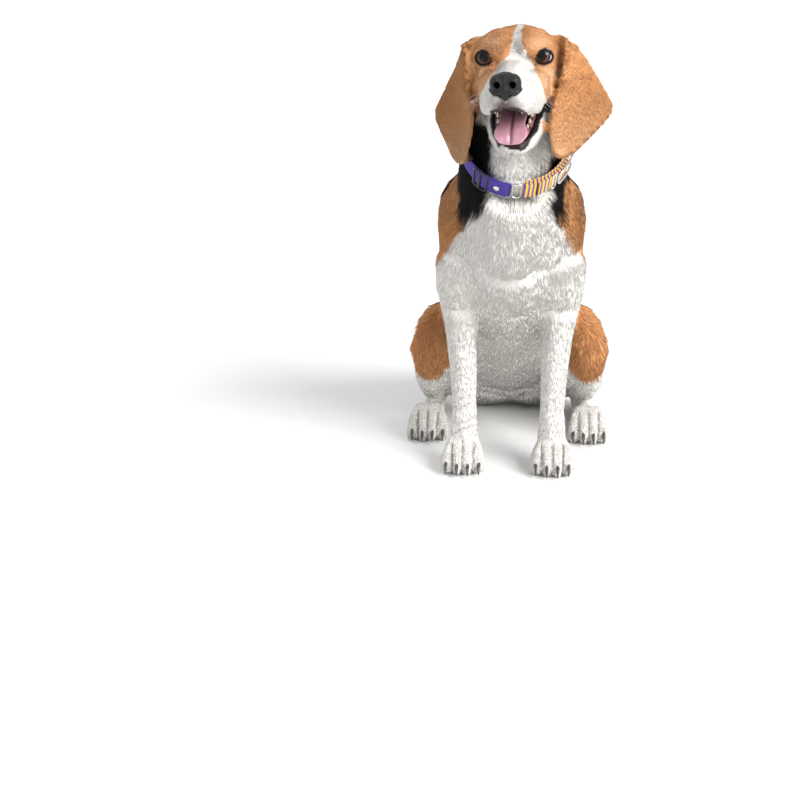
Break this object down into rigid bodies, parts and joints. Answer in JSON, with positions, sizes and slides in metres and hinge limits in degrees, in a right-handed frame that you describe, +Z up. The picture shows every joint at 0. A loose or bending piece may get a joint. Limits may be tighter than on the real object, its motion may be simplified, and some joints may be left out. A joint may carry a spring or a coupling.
{
  "type": "beagle",
  "caption": "Life-size still beagle, sitting with its head up and its mouth open, in a webbing collar with steel fittings.",
  "frame": {"origin": "on the floor under the middle of the whole outline", "axes": "+Z up, the dog faces -Y and its left side is +X"},
  "size_m": [0.2404, 0.5232, 0.5037],
  "materials": {
    "tan_coat": "short tan coat, matte",
    "white_coat": "short white coat, matte",
    "black_coat": "short black coat, faint sheen",
    "eye": "wet brown eye",
    "nose_leather": "black pebbled nose, moist",
    "tongue": "wet pink tongue",
    "gum_and_teeth": "wet gum with ivory teeth",
    "claw": "dark horn",
    "purple_webbing": "woven purple webbing",
    "striped_webbing": "woven webbing, yellow with purple stripes",
    "black_plastic": "moulded black plastic",
    "steel": "polished steel"
  },
  "bodies": {
    "root": {"abdomen": "black_coat", "chest": "white_coat", "claw_fore_left_1": "claw", "claw_fore_left_2": "claw", "claw_fore_left_3": "claw", "claw_fore_left_4": "claw", "claw_fore_right_1": "claw", "claw_fore_right_2": "claw", "claw_fore_right_3": "claw", "claw_fore_right_4": "claw", "claw_hind_left_1": "claw", "claw_hind_left_2": "claw", "claw_hind_left_3": "claw", "claw_hind_left_4": "claw", "claw_hind_right_1": "claw", "claw_hind_right_2": "claw", "claw_hind_right_3": "claw", "claw_hind_right_4": "claw", "collar_keeper": "black_plastic", "collar_link": "steel", "collar_plain_strap": "purple_webbing", "collar_ring": "steel", "collar_rivet": "steel", "collar_slide_plate": "steel", "collar_slider": "black_plastic", "collar_striped_strap": "striped_webbing", "cranium": "tan_coat", "ear_left": "tan_coat", "ear_right": "tan_coat", "eye_left": "eye", "eye_right": "eye", "fore_paw_left": "white_coat", "fore_paw_right": "white_coat", "forearm_left": "white_coat", "forearm_right": "white_coat", "hind_paw_left": "white_coat", "hind_paw_right": "white_coat", "hock_left": "white_coat", "hock_right": "white_coat", "lower_gums": "gum_and_teeth", "lower_jaw": "white_coat", "muzzle": "white_coat", "neck": "black_coat", "nose": "nose_leather", "shank_left": "white_coat", "shank_right": "white_coat", "tail_base": "black_coat", "tail_tip": "white_coat", "thigh_left": "tan_coat", "thigh_right": "tan_coat", "tongue": "tongue", "upper_arm_left": "tan_coat", "upper_arm_right": "tan_coat", "upper_gums": "gum_and_teeth"}
  },
  "joints": []
}
